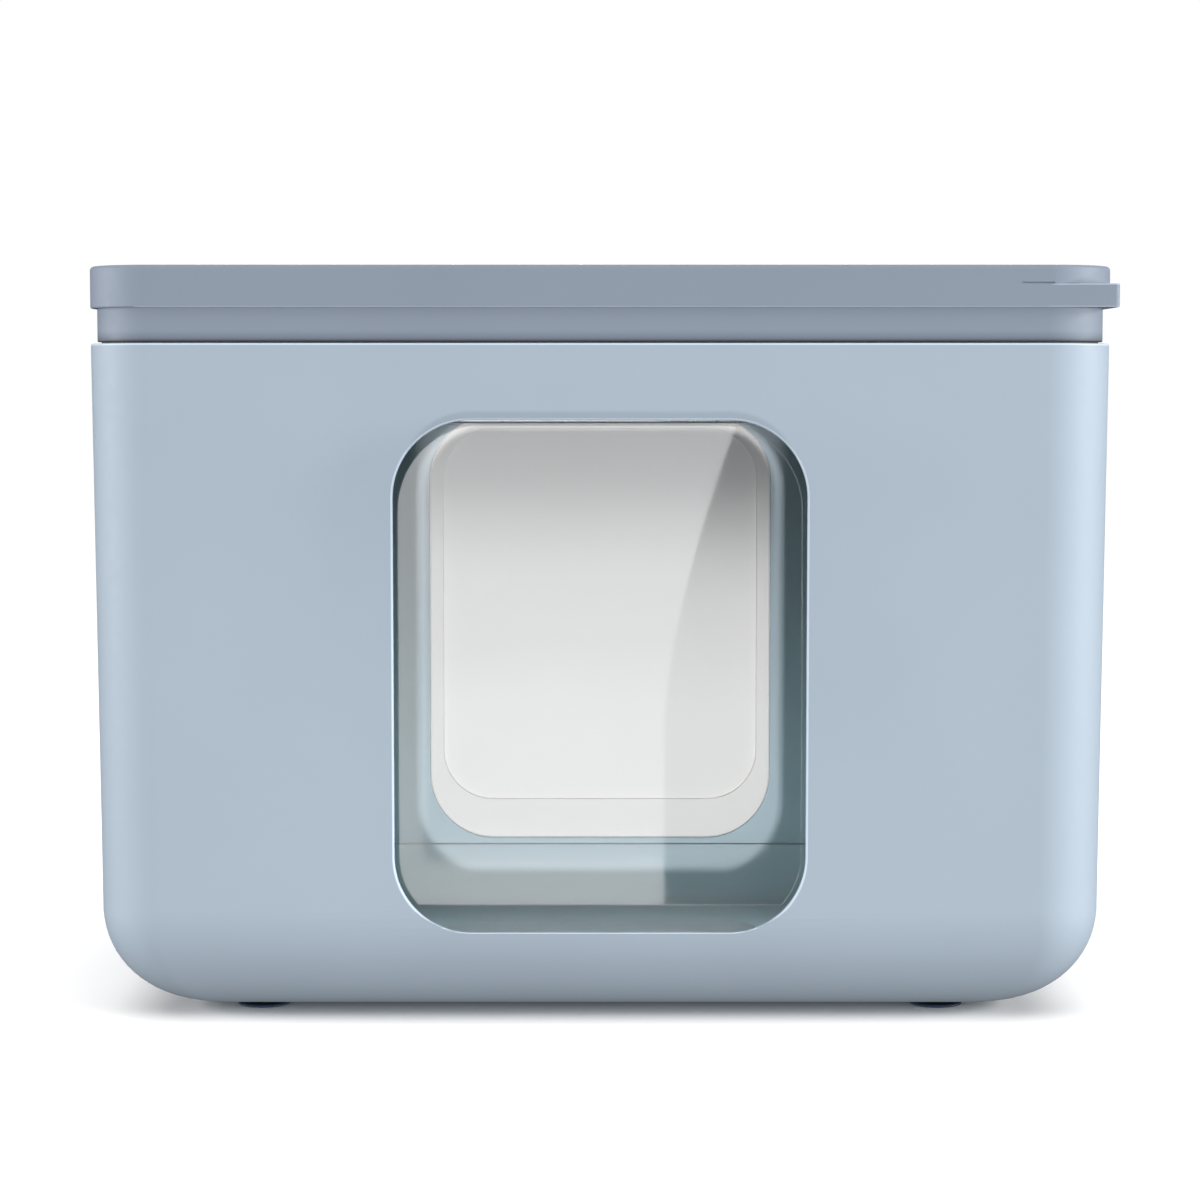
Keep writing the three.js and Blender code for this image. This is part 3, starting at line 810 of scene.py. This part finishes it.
def flap_outline(inset, steps=20):
    """The opening drawn in by the clearance and inset, rounder at the top and cut straight below."""
    low_r, high_r = OPENING_R - FLAP_CLEARANCE - inset, FLAP_TOP_R - inset
    low_x, low_z = OPENING_HALF - OPENING_R, OPENING_LOW_Z + OPENING_R
    high_x, high_z = FLAP_TOP_X, OPENING_HIGH_Z - FLAP_CLEARANCE - FLAP_TOP_R
    start = math.asin((flap_low.z + inset - low_z) / low_r)
    points = []
    arcs = [
        (low_x, low_z, low_r, start, 0),
        (high_x, high_z, high_r, 0, math.pi / 2),
        (-high_x, high_z, high_r, math.pi / 2, math.pi),
        (-low_x, low_z, low_r, math.pi, math.pi - start),
    ]
    for x, z, radius, first, last in arcs:
        for step in range(steps + 1):
            angle = first + (last - first) * step / steps
            points.append((x + radius * math.cos(angle), z + radius * math.sin(angle)))
    return points


def make_flap():
    half, edge, soft_edge = 1.25 * MM, 0.5 * MM, 0.15 * MM
    front = HINGE.y - half
    rows = [(front, edge), (front + soft_edge, soft_edge), (front + edge, 0)]
    rows += [(2 * HINGE.y - y, inset) for y, inset in reversed(rows)]
    pane = prism("flap_sheet", [(y, flap_outline(inset)) for y, inset in rows])
    reach, outer, bore, soft = 89.2 * MM, 3 * MM, 1.65 * MM, 0.4 * MM
    profile = [(bore, -reach), (outer - soft, -reach), (outer, -reach + soft), (outer, reach - soft),
               (outer - soft, reach), (bore, reach), (bore, -reach)]
    barrel = turned("barrel", profile, HINGE, "X", 40)
    web = box_piece("web", (-FLAP_TOP_X, front, OPENING_HIGH_Z - FLAP_CLEARANCE - MM),
                    (FLAP_TOP_X, HINGE.y + half, HINGE.z - bore - 0.3 * MM))
    boolean(pane, [web, barrel], "UNION")
    settle(smooth(pane), flap_clear, "flap", ["flap_pane"])


def make_hinge():
    length, radius, soft = rod_high.x, 1.5 * MM, 0.4 * MM
    profile = [(0, -length), (radius - soft, -length), (radius, -length + soft), (radius, length - soft),
               (radius - soft, length), (0, length)]
    settle(smooth(turned("flap_wire", profile, HINGE, "X")), steel_wire, "base", ["flap_rod"])
    for side in SIDES:
        bracket = frame["nodes"]["flap_bracket_" + side]
        bracket.data.materials.clear()
        bracket.data.materials.append(body_plastic)
        rounding = bracket.modifiers.new("edges", "BEVEL")
        rounding.width, rounding.segments, rounding.limit_method = 0.5 * MM, 2, "ANGLE"
    for number in range(1, 5):
        make_screw(number)


def make_screw(number):
    node = f"bracket_screw_{number}"
    low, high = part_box(node)
    x, z = (low.x + high.x) / 2, (low.z + high.z) / 2
    head_r, shank_r, head = (high.x - low.x) / 2, 1.25 * MM, 1.8 * MM
    crown = [(head_r * math.cos(math.radians(a)), high.y - head + head * math.sin(math.radians(a)))
             for a in range(0, 91, 15)]
    shank = [(0, low.y), (shank_r - 0.4 * MM, low.y), (shank_r, low.y + 0.6 * MM), (shank_r, high.y - head)]
    profile = shank + [(head_r - 0.2 * MM, high.y - head)] + crown
    screw = turned(f"screw_{number}", profile, (x, 0, z), "Y", 32)
    arms = [box_piece("arm", (x - a, high.y - 1.1 * MM, z - b), (x + a, high.y + MM, z + b))
            for a, b in ((1.5 * MM, 0.35 * MM), (0.35 * MM, 1.5 * MM))]
    boolean(screw, arms)
    settle(smooth(screw), steel_wire, "base", [node])


# ---- Rear panel ----

def window_outline(margin):
    """The panel's window, narrower than the opening and higher than its middle."""
    low, high = OPENING_LOW_Z + 25 * MM, OPENING_HIGH_Z - 8.75 * MM
    half_x, half_z, radius = 99.5 * MM, (high - low) / 2, 31 * MM
    return rounded_outline(half_x + margin, half_z + margin, radius + margin, 20, (0, (low + high) / 2))


def layers(name, rows, outline):
    """A solid behind the rear wall's face, from rows of (depth below it, margin round an outline)."""
    return lean(prism(name, [(-depth, outline(margin)) for depth, margin in rows]), 1)


def make_rear_panel():
    clearance, out, depth, lip, soft = 0.4 * MM, 0.1 * MM, 4 * MM, 0.5 * MM, 0.9 * MM
    step, tiny = 1.2 * MM, 0.15 * MM
    plate = [(out, FLANGE - lip), (out + tiny, FLANGE - tiny), (out + lip, FLANGE), (step, FLANGE)]
    plate += [(step, -clearance), (depth - lip, -clearance), (depth, -clearance - lip)]
    rebate, seat = 4 * MM, 2 * MM
    hole = [(-MM, rebate), (seat, rebate), (seat, 0), (depth - soft, 0)]
    hole += [(depth - soft * 0.3, soft * 0.3), (depth, soft), (depth + MM, soft)]
    panel = layers("rear_panel", plate, opening_outline)
    boolean(panel, [layers("window", hole, window_outline)])
    settle(smooth(panel), panel_white, "rear_panel", ["rear_panel_frame"])

    front, back, reach, edge = 0.2 * MM, 1.7 * MM, 3.7 * MM, 0.3 * MM
    sheet = [(front, reach - edge), (front + edge, reach), (back - edge, reach), (back, reach - edge)]
    pane = layers("rear_pane", sheet, window_outline)
    settle(smooth(pane), panel_opal, "rear_panel", ["rear_panel_pane"])


# ---- Feet ----

def foot_profile(radius, height):
    """A rubber disc with a recessed sole and rounded lower edge, and the stem that plugs in."""
    top, stem, edge, soft, sole = 1.3 * MM, 4 * MM, 0.5 * MM, 0.3 * MM, 0.4 * MM
    profile = [(0, sole), (radius - 4 * MM, sole), (radius - 4.4 * MM, 0), (radius - edge, 0)]
    for degrees in range(15, 91, 15):
        angle = math.radians(degrees)
        profile.append((radius - edge + edge * math.sin(angle), edge - edge * math.cos(angle)))
    profile += [(radius, top - soft), (radius - soft, top), (stem, top)]
    return profile + [(stem, height - edge), (stem - edge, height), (0, height)]


def make_feet():
    for corner in CORNERS:
        low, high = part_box("foot_" + corner)
        centre = ((low.x + high.x) / 2, (low.y + high.y) / 2, 0)
        foot = turned("foot_pad_" + corner, foot_profile((high.x - low.x) / 2, high.z), centre)
        settle(smooth(foot), foot_rubber, "base", ["foot_" + corner])


# ---- Stage: camera, floor, lights ----

EYE = Vector((0, -HALF_D - 1.563, 0.335))
LOOKING_DOWN = math.radians(4)


def make_camera():
    data = bpy.data.cameras.new("camera")
    data.lens, data.sensor_width = 90, 36
    data.clip_start, data.clip_end = 0.05, 100
    camera = bpy.data.objects.new("camera", data)
    camera.location = EYE
    camera.rotation_euler = (math.pi / 2 - LOOKING_DOWN, 0, 0)
    bpy.context.scene.collection.objects.link(camera)
    bpy.context.scene.camera = camera


def area_light(name, place, aim, size, energy, colour=(1, 1, 1)):
    data = bpy.data.lights.new(name, "AREA")
    data.shape = "RECTANGLE"
    data.size, data.size_y = size
    data.energy, data.color = energy, colour
    light = bpy.data.objects.new(name, data)
    light.location = place
    light.rotation_euler = (Vector(aim) - Vector(place)).to_track_quat("-Z", "Y").to_euler()
    light.visible_camera = False
    bpy.context.scene.collection.objects.link(light)
    return light


def light_only(light, wanted):
    """Keeps a light to the objects whose names pass."""
    group = bpy.data.collections.new("lit_by_" + light.name)
    for obj in bpy.data.objects:
        if obj.type == "MESH" and wanted(obj.name):
            group.objects.link(obj)
    light.light_linking.receiver_collection = group


def on_panel(name):
    """True of the rear panel and its pane."""
    return name.startswith("rear_pane")


def make_lights():
    """The front light is small and far, so that the opening throws its own outline on the rear wall."""
    middle, behind = (0, 0, 0.2), (0, 3.0, 0.7)
    front = area_light("front_light", (0, -HALF_D - 5.15, 0.361), middle, (0.09, 0.09), 268)
    low = area_light("low_light", (0, -HALF_D - 4.2, -2.6), middle, (0.09, 0.5), 118)
    area_light("right_light", (2.4, -0.6, 0.5), middle, (0.9, 1.2), 97)
    area_light("left_light", (-2.4, -0.35, 0.5), middle, (0.9, 1.2), 66)
    rear = area_light("rear_light", behind, middle, (1.2, 0.9), 120)
    panel = area_light("rear_panel_light", behind, middle, (1.2, 0.9), 45)
    inside = area_light("cabin_light", (0, -0.02, 0.055), (0, 0.17, 0.045), (0.4, 0.03), 0.24, (0.7, 1, 1))
    for light in (front, low, inside):
        light.visible_glossy = False
    light_only(front, lambda name: name != "floor")
    light_only(low, lambda name: not on_panel(name) and not name.startswith("litter_tray"))
    light_only(rear, lambda name: not on_panel(name) and name != "floor")
    light_only(panel, on_panel)
    light_only(inside, lambda name: not on_panel(name))
    sun = bpy.data.lights.new("overhead", "SUN")
    sun.energy, sun.angle = 3.5, math.radians(90)
    bpy.context.scene.collection.objects.link(bpy.data.objects.new("overhead", sun))


def make_world():
    """White to the camera, dimmer as a light, so that the inside stays dark."""
    world = bpy.data.worlds.new("studio")
    bpy.context.scene.world = world
    world.use_nodes = True
    tree = world.node_tree
    background = tree.nodes["Background"]
    path = tree.nodes.new("ShaderNodeLightPath")
    mix = tree.nodes.new("ShaderNodeMix")
    mix.data_type = "FLOAT"
    tree.links.new(path.outputs["Is Camera Ray"], mix.inputs["Factor"])
    mix.inputs["A"].default_value = 0.1
    mix.inputs["B"].default_value = 1.0
    tree.links.new(mix.outputs["Result"], background.inputs["Strength"])
    background.inputs["Color"].default_value = (1, 1, 1, 1)


def only_for(obj, *rays):
    for ray in ("camera", "diffuse", "glossy", "transmission", "volume_scatter", "shadow"):
        setattr(obj, "visible_" + ray, ray in rays)


def make_floor():
    """Overexposed white, so that only the close shadow under the box shows."""
    floor = made("floor", [(-15, -15, 0), (15, -15, 0), (15, 15, 0), (-15, 15, 0)], [(0, 1, 2, 3)])
    n = bare("studio_floor")
    matt = n.tree.nodes.new("ShaderNodeBsdfDiffuse")
    matt.inputs["Color"].default_value = (0.87, 0.86, 0.85, 1)
    n.link(matt.outputs[0], n.output.inputs["Surface"])
    floor.data.materials.append(n.material)
    only_for(floor, "camera", "transmission")


def make_gradient_card():
    """A graded sheet before the opening that only shadow rays meet: it dims the rear panel upwards."""
    points = [(x, -HALF_D - 0.012, z) for x, z in opening_outline(-4 * MM)]
    card = made("gradient_card", points, [tuple(range(len(points)))])
    n = bare("graded_sheet")
    sheet = n.tree.nodes.new("ShaderNodeBsdfTransparent")
    stops = [(0.150, 1.0), (0.211, 0.86), (0.235, 0.73), (0.259, 0.50), (0.283, 0.28), (0.315, 0.18)]
    n.link(n.axis_ramp("Z", stops), sheet.inputs["Color"])
    n.link(sheet.outputs[0], n.output.inputs["Surface"])
    card.data.materials.append(n.material)
    only_for(card, "shadow")


def card_light():
    """Light that is strong at the card's left, lower and upper ends and weaker between them."""
    n = bare("card_light")
    across = n.axis_ramp("X", [(-0.157, 0.0), (-0.147, 1.0)])
    down = n.axis_ramp("Z", [(-0.078, 0.0), (-0.066, 0.6), (-0.035, 1.0), (0.12, 1.0), (0.155, 0.84),
                             (0.190, 0.5), (0.224, 0.16), (0.258, 0.0)])
    both = n.tree.nodes.new("ShaderNodeMath")
    both.operation = "MULTIPLY"
    n.link(across, both.inputs[0])
    n.link(down, both.inputs[1])
    glow = n.tree.nodes.new("ShaderNodeEmission")
    n.link(n.spread(both.outputs[0], 3.5, 1.2, 0, 1), glow.inputs["Strength"])
    n.link(glow.outputs[0], n.output.inputs["Surface"])
    return n.material


def make_reflection_card():
    """A bright card that the flap mirrors: its right edge runs straight up, then leans to the right."""
    distance = 1.0
    scale = 1 + distance / (HINGE.y - EYE.y)
    left_x, edge_x, lean_x = -0.30, 0.034, 0.046
    low_z, turn_z, top_z = -0.05, 0.162, 0.34
    points = [(left_x, low_z), (edge_x, low_z)]
    for step in range(13):
        part = step / 12
        points.append((edge_x + lean_x * part ** 1.5, turn_z + (top_z - turn_z) * part))
    points.append((left_x, top_z))
    verts = [(x * scale, HINGE.y - distance, EYE.z + (z - EYE.z) * scale) for x, z in points]
    card = made("reflection_card", verts, [tuple(range(len(verts)))])
    card.data.materials.append(card_light())
    only_for(card, "glossy")


make_camera()
make_housing()
make_tray()
make_collar()
make_gasket()
make_lid()
make_filter()
make_flap()
make_hinge()
make_rear_panel()
make_feet()
make_world()
make_floor()
make_lights()
make_gradient_card()
make_reflection_card()
bpy.context.scene.view_settings.view_transform = "Standard"
